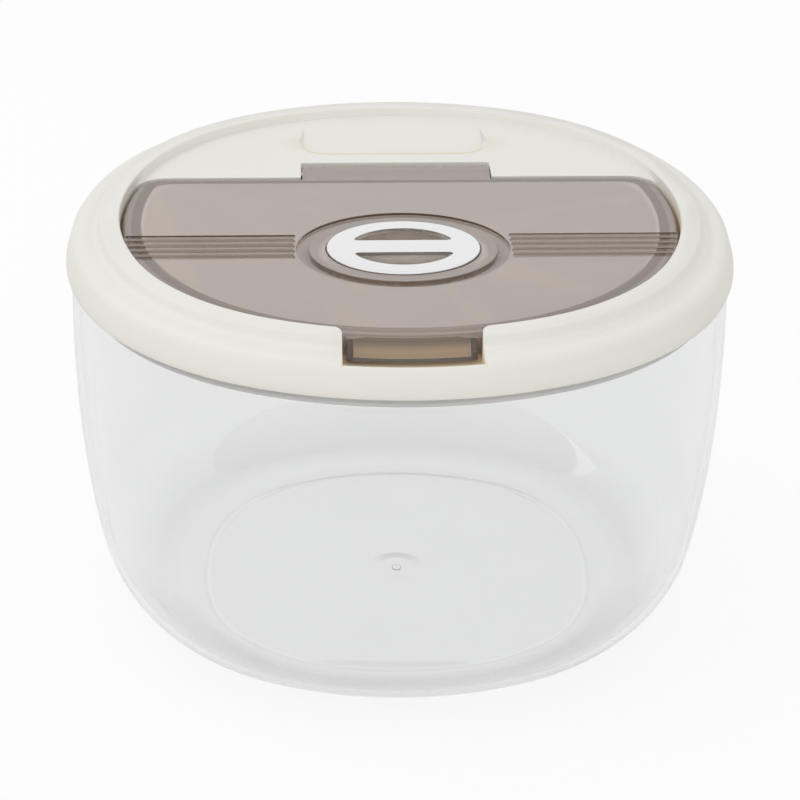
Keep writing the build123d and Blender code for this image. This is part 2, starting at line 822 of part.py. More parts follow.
# Stem seal under the well's floor
with BuildPart() as stem_seal:
    with BuildSketch(Plane.XY.offset(clip_top)):
        add(disc(seal_radius, stem_radius + stem_fit_gap))
    extrude(amount=seal_thickness)
    seal_rim = stem_seal.faces().sort_by(Axis.Z)[-1].edges().sort_by(SortBy.LENGTH)[-1]
    chamfer(seal_rim, length=edge_break)

# Stem clip: open ring in the stem's groove
with BuildPart() as stem_clip:
    with BuildSketch(Plane.XY.offset(clip_bottom + clip_gap / 2)):
        add(disc(clip_radius, groove_radius + clip_gap))
        add(
            block(groove_radius - clip_gap, vent_middle - clip_radius - overrun, vent_middle),
            mode=Mode.SUBTRACT,
        )
    extrude(amount=clip_thickness - clip_gap)

# Umbrella valve: flat ring over the vent holes, thinner towards its lip
with BuildPart() as umbrella_valve:
    with BuildSketch(Plane.XZ.offset(-vent_middle)):
        with BuildLine():
            Polyline(
                (valve_inner_radius, well_floor_top),
                (valve_outer_radius, well_floor_top),
                (valve_outer_radius, well_floor_top + valve_lip_thickness),
                (valve_inner_radius + valve_thickness, well_floor_top + valve_thickness),
                (valve_inner_radius, well_floor_top + valve_thickness),
                close=True,
            )
        make_face()
    revolve(axis=Axis((0, vent_middle, 0), (0, 0, 1)))

# Vent spring: coil of tangent arcs between the well's floor and the cup
coil_start = well_floor_top + spring_seat_gap + spring_wire / 2
coil_height = spring_length - 2 * spring_seat_gap - spring_wire
arc_count = round(spring_turns * arcs_per_turn)
coil_points = []
for step in range(arc_count + 1):
    around = math.radians(step * 360 / arcs_per_turn)
    coil_points.append(
        Vector(
            spring_radius * math.cos(around),
            vent_middle + spring_radius * math.sin(around),
            coil_start + coil_height * step / arc_count,
        )
    )
coil_pitch = coil_height / spring_turns
start_slope = Vector(0, 2 * math.pi * spring_radius, coil_pitch)
with BuildPart() as vent_spring:
    with BuildLine() as coil:
        here = coil_points[0]
        heading = start_slope
        for point in coil_points[1:]:
            arc = TangentArc(here, point, tangent=heading)
            here = arc @ 1
            heading = arc % 1
    with BuildSketch(Plane(origin=coil_points[0], z_dir=start_slope)):
        RegularPolygon(spring_wire / 2, wire_sides)
    sweep()
print("least gap between the spring's turns", round(coil_pitch - spring_wire, 2))

pieces = {
    "bowl": bowl,
    "lid_cover": lid_cover,
    "lid_liner": lid_liner,
    "lid_gasket": lid_gasket,
    "hinge_pin": hinge_pin,
    "flap": flap,
    "flap_liner": flap_liner,
    "flap_gasket": flap_gasket,
    "vent_button": vent_button,
    "vent_ring": vent_ring,
    "button_stem": button_stem,
    "vent_spring": vent_spring,
    "umbrella_valve": umbrella_valve,
    "stem_seal": stem_seal,
    "stem_clip": stem_clip,
}
for name, piece in pieces.items():
    piece.part.label = name
    export_step(piece.part, f"parts/{name}.step")
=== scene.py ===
"""Looks of a vacuum seal canister: clear bowl, cream lid, smoke-brown flap and vent ring."""

import json
import math

import bmesh
import bpy
from bpy.props import FloatProperty, FloatVectorProperty, IntProperty, PointerProperty
from mathutils import Matrix, Vector
from mathutils.bvhtree import BVHTree


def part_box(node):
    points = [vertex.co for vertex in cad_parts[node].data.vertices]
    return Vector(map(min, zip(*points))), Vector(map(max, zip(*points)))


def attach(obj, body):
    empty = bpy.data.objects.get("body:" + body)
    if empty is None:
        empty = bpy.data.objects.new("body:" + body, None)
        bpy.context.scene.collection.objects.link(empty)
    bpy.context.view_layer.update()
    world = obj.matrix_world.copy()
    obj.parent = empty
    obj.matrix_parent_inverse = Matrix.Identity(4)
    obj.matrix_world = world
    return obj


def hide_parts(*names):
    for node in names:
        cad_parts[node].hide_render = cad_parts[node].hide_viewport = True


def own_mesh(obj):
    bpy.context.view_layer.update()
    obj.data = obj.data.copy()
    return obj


bl_info = {
    "name": "Vacuum Seal Canister",
    "version": (1, 0, 0),
    "blender": (4, 5, 0),
    "location": "3D View > Sidebar > Canister",
    "description": "Dresses the canister's frame with its pieces, finishes and studio",
    "category": "Object",
}

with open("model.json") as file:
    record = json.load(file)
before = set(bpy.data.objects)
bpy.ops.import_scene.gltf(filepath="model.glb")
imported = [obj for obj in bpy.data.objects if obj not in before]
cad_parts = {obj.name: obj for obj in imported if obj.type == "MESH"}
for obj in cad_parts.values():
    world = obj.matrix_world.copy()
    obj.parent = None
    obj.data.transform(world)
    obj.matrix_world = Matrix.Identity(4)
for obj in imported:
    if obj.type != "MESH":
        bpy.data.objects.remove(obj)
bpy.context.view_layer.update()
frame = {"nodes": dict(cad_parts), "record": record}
MM = 0.001

# How near points are joined to one, and the angle in degrees up to which faces are joined to one
WELD = 2e-6
FLAT_ANGLE = 0.6

# The grain of the finishes: how far a tone or roughness drifts, and the scale of the noise
FLECK = 0.012
FLECK_SCALE = 38.0
FLECK_ENDS = (0.3, 0.7)
CLEAR_FLECK = 0.004
CLEAR_FLECK_SCALE = 30.0
GRAIN = 0.15
GRAIN_SCALE = 90.0
CLEAR_GRAIN = 0.2
CLEAR_GRAIN_SCALE = 60.0
RELIEF_SCALE = 1400.0
RELIEF_DEPTH = 0.02 * MM
RELIEF = 0.02

# How rough each slot's finish is, how clear the smoke-brown plastic is, and how plastic bends light
ROUGHNESS = {
    "clear_plastic": 0.02,
    "smoke_plastic": 0.12,
    "cream_plastic": 0.5,
    "pale_plastic": 0.5,
    "silicone": 0.6,
    "plated_metal": 0.06,
    "steel": 0.3,
}
SMOKE_CLARITY = 0.6
PLASTIC_IOR = 1.5

# How deep the smoke-brown plastic counts as thin and as deep, and the light it passes
THIN_PLASTIC = 2.2 * MM
DEEP_PLASTIC = 9.0 * MM
RAY_START = 0.05 * MM
STEEP = 0.1
SMOKE_SHADE = (0.86, 0.73, 0.57)

# The nearly round outline as a power, at the lid and at the bowl's foot
OUTLINE_POWER = 2.137
FOOT_POWER = 2.32

# The flap's rolled edge: a dark band of deeper plastic and painted shade, with a paler line in it
FLAP_REAR = 32.0 * MM
FLAP_TOP = 137.0 * MM
EDGE_BAND = 6.6 * MM
EDGE_LINE = 3.4 * MM
EDGE_SQUASH = 1.5
CORNER_ROUND = 9.0 * MM
BAND_TONE = 0.75
BAND_FADE = 0.5 * MM
LINE_TONE = 0.3
LINE_FADE = 0.8 * MM

# The finger tab: painted shade on its face, side walls and lip, and a painted glow low on its face
TAB_START = -1.5 * MM
TAB_TOP = 136.5 * MM
TAB_LIP = 132.1 * MM
TAB_WEB = 17.4 * MM
GLOW_TOP = TAB_TOP - 0.8 * MM
FACE_TONE = 0.5
GLOW_TONE = 0.8
RIM_TONE = 0.8

# The flap's grooves, with painted shade on the lands between them
GROOVE_MIDDLE = -25.2 * MM
GROOVE_PITCH = 4.1 * MM
GROOVE_ROW = 8.2 * MM
LAND_WIDTH = 2.2 * MM
LAND_TONE = 0.8
DISH_END = 35.0 * MM

# The ovals round the vent, as half widths, and the painted shade in the dish and in the hollow
# round the boss, stronger in front
VENT_MIDDLE = -27.0 * MM
DISH = (34.3 * MM, 29.0 * MM)
BOSS = (30.2 * MM, 25.0 * MM)
RING = (24.5 * MM, 20.0 * MM)
DISH_TONE = 0.3
DISH_FADE = 0.98
HOLLOW_TONE = 0.55
HOLLOW_OUT = 1.1
HOLLOW_REAR = 8 * MM
HOLLOW_FRONT = -12 * MM

# The painted glow line at the lid's finger scoop, with painted glow at its ends
SCOOP_HALF = 33.3 * MM
SCOOP_FRONT = 54.7 * MM
SCOOP_ROUND = 11.0 * MM
LINE_PLACE = 0.35 * MM
LINE_WIDTH = 0.9 * MM
END_START = SCOOP_FRONT + 1.6 * SCOOP_ROUND
END_REACH = 9 * MM
END_FADE = 5 * MM
END_TONE = 0.22

# The painted glow on the wall round the flap and in the pocket round its tab, where light through
# the smoke-brown plastic would fall
FLAP_GAP = 0.55 * MM
WALL_TOP = 139.2 * MM
WALL_REACH = 1.5 * MM
WALL_REAR = 25 * MM
WALL_FRONT = -5 * MM
POCKET_SIDE = 20.7 * MM
POCKET_REACH = 0.6 * MM
POCKET_FRONT = -105 * MM
POCKET_HIGH = 133 * MM
POCKET_LOW = 130 * MM
WALL_TONE = 0.8
POCKET_TONE = 0.6

# The bowl's painted shade: greyer low on its wall and low in front, and a painted dark line and a
# painted light line at its foot ring
LOW_WALL = 0.93
LOW_WALL_START = (2.6 * MM, 4.0 * MM)
LOW_WALL_END = (18 * MM, 5 * MM)
LOW_FRONT = 0.77
LOW_FRONT_OUT = (1 * MM, 7 * MM)
LOW_FRONT_UP = (20 * MM, 2 * MM)
LOW_FRONT_AHEAD = (-15 * MM, -60 * MM)
RING_LINE = 0.7 * MM
RING_REACH = 1.3 * RING_LINE
RING_DARK = 0.88
RING_TONE = 0.7
RING_LOW = 1.5 * MM
RING_HIGH = 2.6 * MM

# The bowl's section: the profile's marks as shares of its growth and height, and the moulding mark
SIDE_ARC = 22.5
BOWL_PROFILE = ((0.0, 0.0), (0.409, 0.0469), (0.861, 0.2587), (0.996, 0.6445))
FOOT_SLOPE = 0.1165
ARC_STEPS = 10
CORNER_STEPS = 6
SQUARE_END = 0.7
FOOT_CORNER = 0.3 * MM
FLOOR_CORNER = 3 * MM
FOOT_RECESS = 0.22 * MM
RING_HALF = 1.4 * MM
SOFT_CORNER = 1.0 * MM
DIMPLE_RADIUS = 10.0 * MM
DIMPLE_SLOPE = 3.5 * MM
DIMPLE_DEPTH = 0.3 * MM
NUB_RADIUS = 1.6 * MM
NUB_HEIGHT = 0.2 * MM
NUB_FILLET = 0.15 * MM
NUB_CORNER = 0.2 * MM

# How far the hard edges are rounded off, and the angle past which an edge is hard
EDGE_ROUND = 0.25 * MM
COVER_ROUND = 0.2 * MM
FLAP_ROUND = 0.12 * MM
SMALL_ROUND = 0.08 * MM
HARD_ANGLE = 52.0
BOWL_HARD_ANGLE = 40.0
FACE_WEIGHT = 80

# The lid's smooth rim
RIM_ROUNDS = 3
RIM_INSIDE = 95.0 * MM

# The studio
FLOOR = -0.2 * MM
FLOOR_HALF = 4.0
FLOOR_PAINT = (0.94, 0.94, 0.94)
FLOOR_BOUNCE = (0.72, 0.71, 0.65)
FLOOR_WHITE = 0.88
WORLD_LIGHT = 0.79
LAMPS = (("key", (-0.9, 0.1, 1.2), 3.6, 1.0), ("fill", (0.1, -1.5, 0.8), 4.0, 1.2))
AIM = Vector((0, 0, 0.1))
LENS = 104.919
CAMERA_PLACE = (-0.030297, -0.707073, 0.440226)

BODIES = frame["record"]["behaviour"]["bodies"]
BODY_OF = {node: body for body, nodes in BODIES.items() for node in nodes}
SLOT_OF = {part["node"]: part["material_slot"] for part in frame["record"]["subparts"]}


def cad_size(node, axis):
    """Half the width of a CAD node along an axis."""
    low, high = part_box(node)
    return (high[axis] - low[axis]) / 2


def length(name, description, default):
    """A size that the user may change, in metres."""
    return FloatProperty(
        name=name, description=description, default=default, unit="LENGTH", precision=5
    )


def colour(name, description, default):
    """A colour that the user may change."""
    return FloatVectorProperty(
        name=name, description=description, default=default, subtype="COLOR", size=3, min=0, max=1
    )


class CanisterSizes(bpy.types.PropertyGroup):
    """Sizes that the dressed pieces share."""

    bowl_height: length("Bowl height", "From the table to the bowl's rim", cad_size("bowl", 2) * 2)
    mouth: length("Mouth", "Half width at the bowl's rim", 107.7 * MM)
    belly: length("Belly", "Half width at the bowl's widest", 108.5 * MM)
    foot: length("Foot", "Half width at the bowl's foot", 72.9 * MM)
    foot_ring: length("Foot ring", "Half width of the foot ring's inner edge", 67.3 * MM)
    bowl_wall: length("Bowl wall", "Thickness of the bowl's wall", 2.2 * MM)
    rim_round: length("Rim round", "Radius of the bowl rim's edges", 0.5 * MM)
    mouth_square: length("Mouth square", "How far the mouth's corners stand out", 2.42 * MM)
    foot_square: length("Foot square", "How far the foot's corners stand out", 3.3 * MM)
    steps_round: IntProperty(
        name="Steps round", description="Steps round an outline", default=320, min=64
    )


class CanisterColours(bpy.types.PropertyGroup):
    """Colours of the finishes, with the colours of the painted glow, light and shade."""

    cream: colour("Cream", "Lid cover", (0.81, 0.797, 0.745))
    # Painted glow on the lid cover at its scoop and round the flap
    painted_glow_cream: colour("Warm cream", "Lid cover where light shows through it", (0.74, 0.58, 0.34))
    pale: colour("Pale", "Plates under the lid and flap", (0.83, 0.81, 0.79))
    smoke: colour("Smoke", "Thin smoke-brown plastic", (0.85, 0.77, 0.715))
    # The smoke-brown plastic where it is deep, and the colour of its painted shade
    deep_and_shaded_smoke: colour("Deep smoke", "Smoke-brown plastic where it is deep", (0.235, 0.175, 0.13))
    clear: colour("Clear", "Tint of the clear bowl", (0.89, 0.892, 0.893))
    # Painted glow on the finger tab
    painted_tab_glow: colour("Tab glow", "The finger tab where it lets light through", (0.85, 0.62, 0.36))
    # Painted shade on the finger tab's side walls and lip
    painted_shade_tab_rim: colour("Tab rim", "The finger tab's side walls and lip", (0.14, 0.125, 0.12))
    # Painted light: the cup under the vent ring, painted lighter
    cup: colour("Cup", "Smoke-brown plastic under the vent ring", (0.97, 0.92, 0.86))
    silicone: colour("Silicone", "Seals", (0.86, 0.86, 0.84))
    plating: colour("Plating", "Vent ring", (0.81, 0.81, 0.815))
    steel: colour("Steel", "Pin, spring and clip", (0.62, 0.62, 0.63))


def sizes():
    """The sizes as they are set."""
    return bpy.context.scene.canister_sizes


def colours():
    """The colours as they are set."""
    return bpy.context.scene.canister_colours


# Materials


class Nodes:
    """Adds nodes to a tree and links their inputs."""

    def __init__(self, tree):
        self.tree = tree

    def add(self, kind, settings=None, **inputs):
        node = self.tree.nodes.new(kind)
        for name, value in (settings or {}).items():
            setattr(node, name, value)
        for name, value in inputs.items():
            self.feed(node, name, value)
        return node

    def feed(self, node, name, value):
        socket = node.inputs[int(name[1:]) if name[0] == "_" else name.replace("_", " ")]
        if isinstance(value, bpy.types.NodeSocket):
            self.tree.links.new(value, socket)
        else:
            socket.default_value = value


def new_material(name):
    """An empty material, its node helper and its output node."""
    material = bpy.data.materials.new(name)
    material.use_nodes = True
    material.node_tree.nodes.clear()
    nodes = Nodes(material.node_tree)
    return material, nodes, nodes.add("ShaderNodeOutputMaterial")


def maths(nodes, operation, first, second=0.0):
    """The outcome of a Math node."""
    node = nodes.add("ShaderNodeMath", {"operation": operation}, _0=first, _1=second)
    return node.outputs["Value"]


def product(nodes, first, *others):
    """The product of some values."""
    for other in others:
        first = maths(nodes, "MULTIPLY", first, other)
    return first


def largest(nodes, first, *others):
    """The largest of some values."""
    for other in others:
        first = maths(nodes, "MAXIMUM", first, other)
    return first


def apart(nodes, first, second):
    """How far two values are apart."""
    return maths(nodes, "ABSOLUTE", maths(nodes, "SUBTRACT", first, second))


def ramped(nodes, value, start, end, top=1.0):
    """A value that climbs from 0 at the start to the top at the end."""
    levels = nodes.add("ShaderNodeMapRange", Value=value)
    for name, number in (("From Min", start), ("From Max", end), ("To Max", top)):
        levels.inputs[name].default_value = number
    return levels.outputs["Result"]


def flecked(nodes, tone, spread=FLECK, scale=FLECK_SCALE):
    """A colour that drifts a little over the surface."""
    where = nodes.add("ShaderNodeTexCoord").outputs["Object"]
    noise = nodes.add("ShaderNodeTexNoise", Vector=where, Scale=scale, Detail=3.0)
    ramp = nodes.add("ShaderNodeValToRGB", Fac=noise.outputs["Fac"])
    low, high = ramp.color_ramp.elements
    low.position, high.position = FLECK_ENDS
    low.color = [*(part * (1 - spread) for part in tone), 1]
    high.color = [*(min(1, part * (1 + spread)) for part in tone), 1]
    return ramp.outputs["Color"]


def grained(nodes, middle, share, scale):
    """A roughness that drifts by a share of itself over the surface."""
    where = nodes.add("ShaderNodeTexCoord").outputs["Object"]
    noise = nodes.add("ShaderNodeTexNoise", Vector=where, Scale=scale, Detail=4.0)
    levels = nodes.add("ShaderNodeMapRange", Value=noise.outputs["Fac"])
    levels.inputs["To Min"].default_value = middle - middle * share
    levels.inputs["To Max"].default_value = middle + middle * share
    return levels.outputs["Result"]


def between(nodes, share, first, second):
    """A colour between two others, each given as a socket or as three parts."""
    first, second = (
        side if isinstance(side, bpy.types.NodeSocket) else (*side, 1) for side in (first, second)
    )
    node = nodes.add("ShaderNodeMix", {"data_type": "RGBA"}, _0=share, _6=first, _7=second)
    return node.outputs[2]


def object_place(nodes):
    """The three coordinates of a place on the piece."""
    where = nodes.add("ShaderNodeTexCoord").outputs["Object"]
    return nodes.add("ShaderNodeSeparateXYZ", Vector=where).outputs


def squircle(nodes, x, y, power):
    """How far out a place is on a nearly round outline."""
    sides = [maths(nodes, "POWER", maths(nodes, "ABSOLUTE", side), power) for side in (x, y)]
    return maths(nodes, "POWER", maths(nodes, "ADD", *sides), 1 / power)


def ellipse(nodes, x, y, halves):
    """How far out a place is, with 1 on an ellipse of two half widths."""
    parts = [maths(nodes, "DIVIDE", side, half) for side, half in zip((x, y), halves)]
    squares = [maths(nodes, "POWER", part, 2.0) for part in parts]
    return maths(nodes, "SQRT", maths(nodes, "ADD", *squares))


def painted_scoop_glow(nodes, x, y):
    """The painted line of light along the scoop's front edge, and its soft painted glow at the
    ends.
    """
    wide = maths(nodes, "ABSOLUTE", x)
    out = largest(nodes, maths(nodes, "SUBTRACT", wide, SCOOP_HALF - SCOOP_ROUND), 0.0)
    ahead = largest(nodes, maths(nodes, "SUBTRACT", SCOOP_FRONT + SCOOP_ROUND, y), 0.0)
    squares = [maths(nodes, "POWER", side, 2.0) for side in (out, ahead)]
    away = maths(nodes, "SQRT", maths(nodes, "ADD", *squares))
    past = maths(nodes, "SUBTRACT", away, SCOOP_ROUND)
    line = product(
        nodes,
        ramped(nodes, apart(nodes, past, LINE_PLACE), LINE_WIDTH, 0.0),
        ramped(nodes, ahead, 0.0, SCOOP_ROUND),
    )
    ends = product(
        nodes,
        ramped(nodes, past, END_REACH, 0.0, END_TONE),
        ramped(nodes, maths(nodes, "SUBTRACT", END_START, y), 0.0, END_FADE),
        ramped(nodes, y, SCOOP_FRONT, SCOOP_FRONT + END_FADE),
        maths(nodes, "GREATER_THAN", past, 0.0),
    )
    return largest(nodes, line, ends)


def painted_gap_glow(nodes, x, y, z):
    """Painted glow on the wall round the flap and in the pocket round its tab, where smoke-brown
    light would fall.
    """
    opening = cad_size("flap", 0) + FLAP_GAP
    away = apart(nodes, squircle(nodes, x, y, OUTLINE_POWER), opening)
    wall = product(
        nodes,
        maths(nodes, "LESS_THAN", away, WALL_REACH),
        ramped(nodes, y, WALL_REAR, WALL_FRONT),
        ramped(nodes, z, WALL_TOP, FLAP_TOP, WALL_TONE),
    )
    wide = maths(nodes, "ABSOLUTE", x)
    beside = product(
        nodes,
        maths(nodes, "LESS_THAN", apart(nodes, wide, POCKET_SIDE), POCKET_REACH),
        ramped(nodes, z, FLAP_TOP, TAB_LIP, WALL_TONE),
    )
    under = product(
        nodes,
        maths(nodes, "LESS_THAN", wide, POCKET_SIDE),
        ramped(nodes, z, POCKET_HIGH, POCKET_LOW, POCKET_TONE),
    )
    pocket = product(
        nodes,
        largest(nodes, beside, under),
        maths(nodes, "LESS_THAN", y, -opening),
        maths(nodes, "GREATER_THAN", y, POCKET_FRONT),
    )
    return largest(nodes, wall, pocket)


def with_painted_glow(nodes, tone, warm):
    """A drifting colour with painted glow, at the scoop's edge where light would show through the
    cream plastic, and round the flap where light would fall on it.
    """
    x, y, z = object_place(nodes)
    share = largest(nodes, painted_scoop_glow(nodes, x, y), painted_gap_glow(nodes, x, y, z))
    return between(nodes, share, flecked(nodes, tone), warm)


def moulded(name, tone, roughness, relief=RELIEF, warm=None, **sockets):
    """Moulded plastic, silicone or metal with a fine grain, and with painted glow where a warm
    colour is given.
    """
    material, nodes, out = new_material(name)
    where = nodes.add("ShaderNodeTexCoord").outputs["Object"]
    fine = nodes.add("ShaderNodeTexNoise", Vector=where, Scale=RELIEF_SCALE, Detail=2.0)
    bump = nodes.add(
        "ShaderNodeBump", Strength=relief, Distance=RELIEF_DEPTH, Height=fine.outputs["Fac"]
    )
    shader = nodes.add(
        "ShaderNodeBsdfPrincipled",
        Base_Color=with_painted_glow(nodes, tone, warm) if warm else flecked(nodes, tone),
        Roughness=grained(nodes, roughness, GRAIN, GRAIN_SCALE),
        Normal=bump.outputs["Normal"],
        **sockets,
    )
    nodes.feed(out, "Surface", shader.outputs["BSDF"])
    return material


def deep_and_shaded_edge(nodes, x, y):
    """The flap's rolled edge, round its nearly round side and its straight rear, as a band of
    deeper plastic and painted shade with a paler line in it.
    """
    past_side = maths(nodes, "SUBTRACT", squircle(nodes, x, y, OUTLINE_POWER), cad_size("flap", 0))
    past_rear = product(nodes, maths(nodes, "SUBTRACT", y, FLAP_REAR), EDGE_SQUASH)
    blend = nodes.add(
        "ShaderNodeMath", {"operation": "SMOOTH_MAX"}, _0=past_side, _1=past_rear, _2=CORNER_ROUND
    )
    past = blend.outputs["Value"]
    band = ramped(nodes, past, -EDGE_BAND, BAND_FADE - EDGE_BAND, BAND_TONE)
    line = ramped(nodes, past, -EDGE_LINE, LINE_FADE - EDGE_LINE, LINE_TONE)
    return maths(nodes, "SUBTRACT", band, line)


def painted_shade_lands(nodes, x, y, z):
    """Painted shade on the lands between the flap's grooves."""
    off = maths(nodes, "SUBTRACT", y, GROOVE_MIDDLE + GROOVE_PITCH / 2)
    swing = maths(nodes, "PINGPONG", off, GROOVE_PITCH / 2)
    return product(
        nodes,
        maths(nodes, "LESS_THAN", swing, LAND_WIDTH / 2),
        maths(nodes, "LESS_THAN", apart(nodes, y, GROOVE_MIDDLE), GROOVE_ROW),
        maths(nodes, "GREATER_THAN", maths(nodes, "ABSOLUTE", x), DISH_END),
        maths(nodes, "GREATER_THAN", z, FLAP_TOP),
        LAND_TONE,
    )


def tab_tones(nodes, x, y, z):
    """How deep the tab looks, with painted shade growing up its face and full on its side walls and
    lip; how much painted glow its face has low down; and how dark its side walls and lip are, as
    painted shade on deeper plastic.
    """
    ahead = maths(nodes, "GREATER_THAN", product(nodes, y, -1.0), cad_size("flap", 0) + TAB_START)
    tab = product(nodes, ahead, maths(nodes, "LESS_THAN", z, TAB_TOP))
    web = maths(nodes, "GREATER_THAN", maths(nodes, "ABSOLUTE", x), TAB_WEB)
    border = largest(nodes, web, maths(nodes, "LESS_THAN", z, TAB_LIP))
    face = maths(nodes, "ADD", ramped(nodes, z, TAB_LIP, TAB_TOP, 1 - FACE_TONE), FACE_TONE)
    deep = product(nodes, tab, largest(nodes, face, border))
    open_face = maths(nodes, "SUBTRACT", 1.0, border)
    glow = product(nodes, tab, open_face, ramped(nodes, z, GLOW_TOP, TAB_LIP, GLOW_TONE))
    return deep, glow, product(nodes, tab, border, RIM_TONE)


def dish_tones(nodes, x, y):
    """How much painted shade the dish and the hollow round its boss get, the hollow's stronger in
    front, and where the cup under the ring is, for its painted lighter tone.
    """
    back = maths(nodes, "SUBTRACT", y, VENT_MIDDLE)
    cup = maths(nodes, "LESS_THAN", ellipse(nodes, x, back, RING), 1.0)
    dish = ramped(nodes, ellipse(nodes, x, back, DISH), 1.0, DISH_FADE, DISH_TONE)
    boss = ellipse(nodes, x, back, BOSS)
    hollow = product(
        nodes,
        ramped(nodes, boss, HOLLOW_OUT, 1.0, HOLLOW_TONE),
        ramped(nodes, boss, DISH_FADE, 1.0),
        ramped(nodes, back, HOLLOW_REAR, HOLLOW_FRONT),
    )
    outside = product(nodes, dish, maths(nodes, "SUBTRACT", 1.0, cup))
    return maths(nodes, "ADD", outside, hollow), cup


def deepened_and_shaded(nodes, thin, deep):
    """A colour from thin plastic's to deep plastic's by the mesh's kept depth, with painted shade
    by place on the flap's edge, lands, tab and dish, painted glow on the tab, and the cup under the
    ring painted lighter.
    """
    x, y, z = object_place(nodes)
    kept = nodes.add("ShaderNodeAttribute", {"attribute_name": "depth"}).outputs["Fac"]
    tab, glow, rim = tab_tones(nodes, x, y, z)
    dish, cup = dish_tones(nodes, x, y)
    # The kept depth, and painted shade on the flap's edge, lands, tab and dish
    share = largest(nodes, kept, deep_and_shaded_edge(nodes, x, y), painted_shade_lands(nodes, x, y, z), tab, dish)
    tone = between(nodes, share, flecked(nodes, thin, CLEAR_FLECK, CLEAR_FLECK_SCALE), deep)
    # Painted glow and painted shade on the tab, and painted light on the cup under the ring
    tones = colours()
    for share, other in ((glow, tones.painted_tab_glow), (rim, tones.painted_shade_tab_rim), (cup, tones.cup)):
        tone = between(nodes, share, tone, other)
    return tone


def painted_bowl_shade(nodes, tint):
    """The bowl's tint with painted shade, greyer above its foot and low in front, and a painted
    dark line and a painted light line at its foot ring.
    """
    x, y, z = object_place(nodes)
    shares = (LOW_WALL, RING_DARK, LOW_FRONT)
    low, line, ahead = ([part * share for part in tint] for share in shares)
    share = product(nodes, ramped(nodes, z, *LOW_WALL_START), ramped(nodes, z, *LOW_WALL_END))
    tone = between(nodes, share, flecked(nodes, tint, CLEAR_FLECK, CLEAR_FLECK_SCALE), low)
    past = maths(nodes, "SUBTRACT", squircle(nodes, x, y, FOOT_POWER), sizes().foot_ring)
    # A painted dark line outside the foot ring's edge and a painted light line inside it
    for place, other in ((RING_LINE, line), (-RING_LINE, (1.0, 1.0, 1.0))):
        share = product(
            nodes,
            maths(nodes, "GREATER_THAN", z, RING_LOW),
            maths(nodes, "LESS_THAN", z, RING_HIGH),
            ramped(nodes, apart(nodes, past, place), RING_REACH, 0.0, RING_TONE),
        )
        tone = between(nodes, share, tone, other)
    # Painted shade low on the bowl's front
    share = product(
        nodes,
        ramped(nodes, past, *LOW_FRONT_OUT),
        ramped(nodes, z, *LOW_FRONT_UP),
        ramped(nodes, y, *LOW_FRONT_AHEAD),
    )
    return between(nodes, share, tone, ahead)


def see_through(name, tone, roughness, clarity, passed):
    """Plastic that lets the lamps' light through, with a tone that a function adds to its nodes."""
    material, nodes, out = new_material(name)
    shader = nodes.add(
        "ShaderNodeBsdfPrincipled",
        Base_Color=tone(nodes),
        Roughness=grained(nodes, roughness, CLEAR_GRAIN, CLEAR_GRAIN_SCALE),
        Transmission_Weight=clarity,
        IOR=PLASTIC_IOR,
    )
    shine = nodes.add("ShaderNodeBsdfTransparent", Color=(*passed, 1))
    both = nodes.add(
        "ShaderNodeMixShader",
        _0=nodes.add("ShaderNodeLightPath").outputs["Is Shadow Ray"],
        _1=shader.outputs["BSDF"],
        _2=shine.outputs["BSDF"],
    )
    nodes.feed(out, "Surface", both.outputs["Shader"])
    return material


def finish_of(slot):
    """The finish of a slot of the record, made once."""
    name = slot + "_finish"
    made = bpy.data.materials.get(name)
    if made:
        return made
    tones = colours()
    rough = ROUGHNESS[slot]
    # The clear bowl gets painted shade and painted lines at its foot ring
    if slot == "clear_plastic":
        passed = [math.sqrt(part) for part in tones.clear]
        return see_through(name, lambda nodes: painted_bowl_shade(nodes, tones.clear), rough, 1.0, passed)
    if slot == "smoke_plastic":
        # The smoke-brown plastic gets painted shade and painted light by place
        return see_through(
            name,
            lambda nodes: deepened_and_shaded(nodes, tones.smoke, tones.deep_and_shaded_smoke),
            rough,
            SMOKE_CLARITY,
            SMOKE_SHADE,
        )
    # The cream lid gets painted glow at its scoop and round the flap
    if slot == "cream_plastic":
        return moulded(name, tones.cream, rough, warm=tones.painted_glow_cream)
    if slot == "pale_plastic":
        return moulded(name, tones.pale, rough)
    if slot == "silicone":
        return moulded(name, tones.silicone, rough)
    if slot == "plated_metal":
        return moulded(name, tones.plating, rough, relief=0.0, Metallic=1.0)
    if slot == "steel":
        return moulded(name, tones.steel, rough, Metallic=1.0)
    raise ValueError(f"the record has no finish for {slot}")


# Meshes


def keep_depth(mesh):
    """Keeps in each face how much plastic lies behind it, from 0 for thin to 1 for deep."""
    tree = BVHTree.FromPolygons(
        [vertex.co for vertex in mesh.vertices], [list(face.vertices) for face in mesh.polygons]
    )
    mesh.calc_loop_triangles()
    widest = {}
    for triangle in mesh.loop_triangles:
        if triangle.area >= widest.get(triangle.polygon_index, (0,))[0]:
            widest[triangle.polygon_index] = (triangle.area, triangle.center.copy())
    depth = []
    for face in mesh.polygons:
        way = Vector((0, 0, -1)) if STEEP < face.normal.z < 1 - STEEP else -face.normal
        hit = tree.ray_cast(widest[face.index][1] - face.normal * RAY_START, way)
        reach = hit[3] if hit[3] is not None else 0.0
        depth.append(min(1.0, max(0.0, (reach - THIN_PLASTIC) / (DEEP_PLASTIC - THIN_PLASTIC))))
    mesh.attributes.new("depth", "FLOAT", "FACE").data.foreach_set("value", depth)


